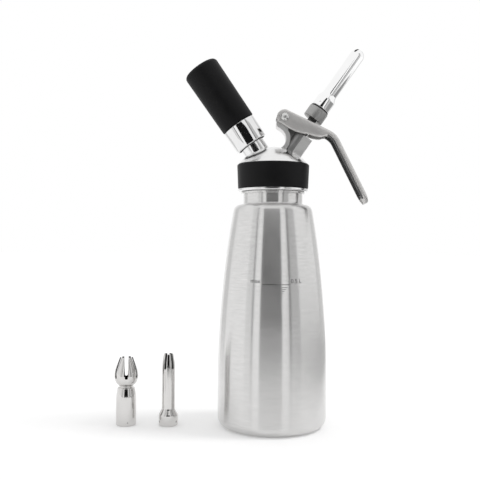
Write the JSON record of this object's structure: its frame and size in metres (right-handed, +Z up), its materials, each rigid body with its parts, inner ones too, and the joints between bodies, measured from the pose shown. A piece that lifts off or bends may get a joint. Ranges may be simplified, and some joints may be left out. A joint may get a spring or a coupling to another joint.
{
  "type": "whipped cream dispenser",
  "caption": "Steel whipped cream dispenser with screw-on head, squeeze lever, sleeved charger holder and decorating tips standing beside it.",
  "frame": {"origin": "on the floor, at the centre of the bottle's base", "axes": "+Z up the bottle's axis; +X towards the lever and the fitted tip, so the charger holder leans to -X; the picture looks along +Y"},
  "size_m": [0.1859, 0.08, 0.2784],
  "materials": {
    "brushed_steel": "brushed round the body",
    "polished_steel": "polished",
    "satin_cast_steel": "satin casting",
    "dull_steel": "dull turned steel",
    "black_silicone": "matte silicone",
    "black_rubber": "moulded rubber",
    "white_plastic": "turned plastic"
  },
  "bodies": {
    "bottle": {"bottle": "brushed_steel"},
    "head_seal": {"head_gasket": "black_silicone"},
    "head": {"head": "polished_steel", "grip_ring": "black_silicone", "stem_o_ring": "black_rubber", "stem_guide": "white_plastic", "valve_spring": "polished_steel", "pivot_pin": "polished_steel", "pivot_cap": "polished_steel", "piercing_pin": "polished_steel", "pin_retainer": "polished_steel", "charger_gasket": "black_rubber", "check_valve": "black_rubber"},
    "valve": {"valve_stem": "polished_steel", "valve_seal": "black_rubber", "seal_nut": "polished_steel", "stem_collar": "dull_steel", "tip_adapter": "dull_steel"},
    "tip_seal": {"tip_washer": "black_rubber"},
    "fitted_tip": {"straight_tip": "polished_steel"},
    "lever": {"lever": "satin_cast_steel"},
    "charger": {"charger": "brushed_steel"},
    "charger_holder": {"charger_cup": "polished_steel", "cup_sleeve": "black_silicone"},
    "star_tip": {"star_tip": "polished_steel"},
    "tulip_tip": {"tulip_tip": "polished_steel"}
  },
  "joints": [
    {"name": "head_rise", "type": "slide", "parent": "bottle", "child": "head_seal", "axis": [0, 0, 1], "range_m": [0, 0.0151]},
    {"name": "head_turn", "type": "hinge", "parent": "head_seal", "child": "head", "pos_m": [0, 0, 0.187], "axis": [0, 0, 1], "range_deg": [0, 1350]},
    {"name": "lever_squeeze", "type": "hinge", "parent": "head", "child": "lever", "pos_m": [0.00793, 0, 0.22661], "axis": [0, 1, 0], "range_deg": [0, 12], "stiffness_Nm_per_rad": 0.9, "springref_deg": -8.59},
    {"name": "valve_press", "type": "slide", "parent": "head", "child": "valve", "axis": [-0.5693, 0, -0.8221], "range_m": [0, 0.0037], "deforming": ["valve_spring"]},
    {"name": "tip_rise", "type": "slide", "parent": "valve", "child": "tip_seal", "axis": [0.5693, 0, 0.8221], "range_m": [0, 0.0064]},
    {"name": "tip_turn", "type": "hinge", "parent": "tip_seal", "child": "fitted_tip", "pos_m": [0, 0, 0.1846], "axis": [0.5693, 0, 0.8221], "range_deg": [0, 1540]},
    {"name": "holder_rise", "type": "slide", "parent": "head", "child": "charger", "axis": [-0.5693, 0, 0.8221], "range_m": [0, 0.0088]},
    {"name": "holder_turn", "type": "hinge", "parent": "charger", "child": "charger_holder", "pos_m": [0, 0, 0.1846], "axis": [-0.5693, 0, 0.8221], "range_deg": [0, 1250]},
    {"name": "star_tip_lift", "type": "slide", "parent": "bottle", "child": "star_tip", "axis": [0, 0, 1], "range_m": [0, 0.06]},
    {"name": "tulip_tip_lift", "type": "slide", "parent": "bottle", "child": "tulip_tip", "axis": [0, 0, 1], "range_m": [0, 0.06]}
  ],
  "couplings": [
    {"joint": "head_rise", "follows": "head_turn", "m_per_rad": 0.00063662},
    {"joint": "valve_press", "follows": "lever_squeeze", "m_per_rad": 0.0174},
    {"joint": "tip_turn", "follows": "tip_rise", "rad_per_m": 4188.8},
    {"joint": "holder_rise", "follows": "holder_turn", "m_per_rad": 0.00039789}
  ]
}
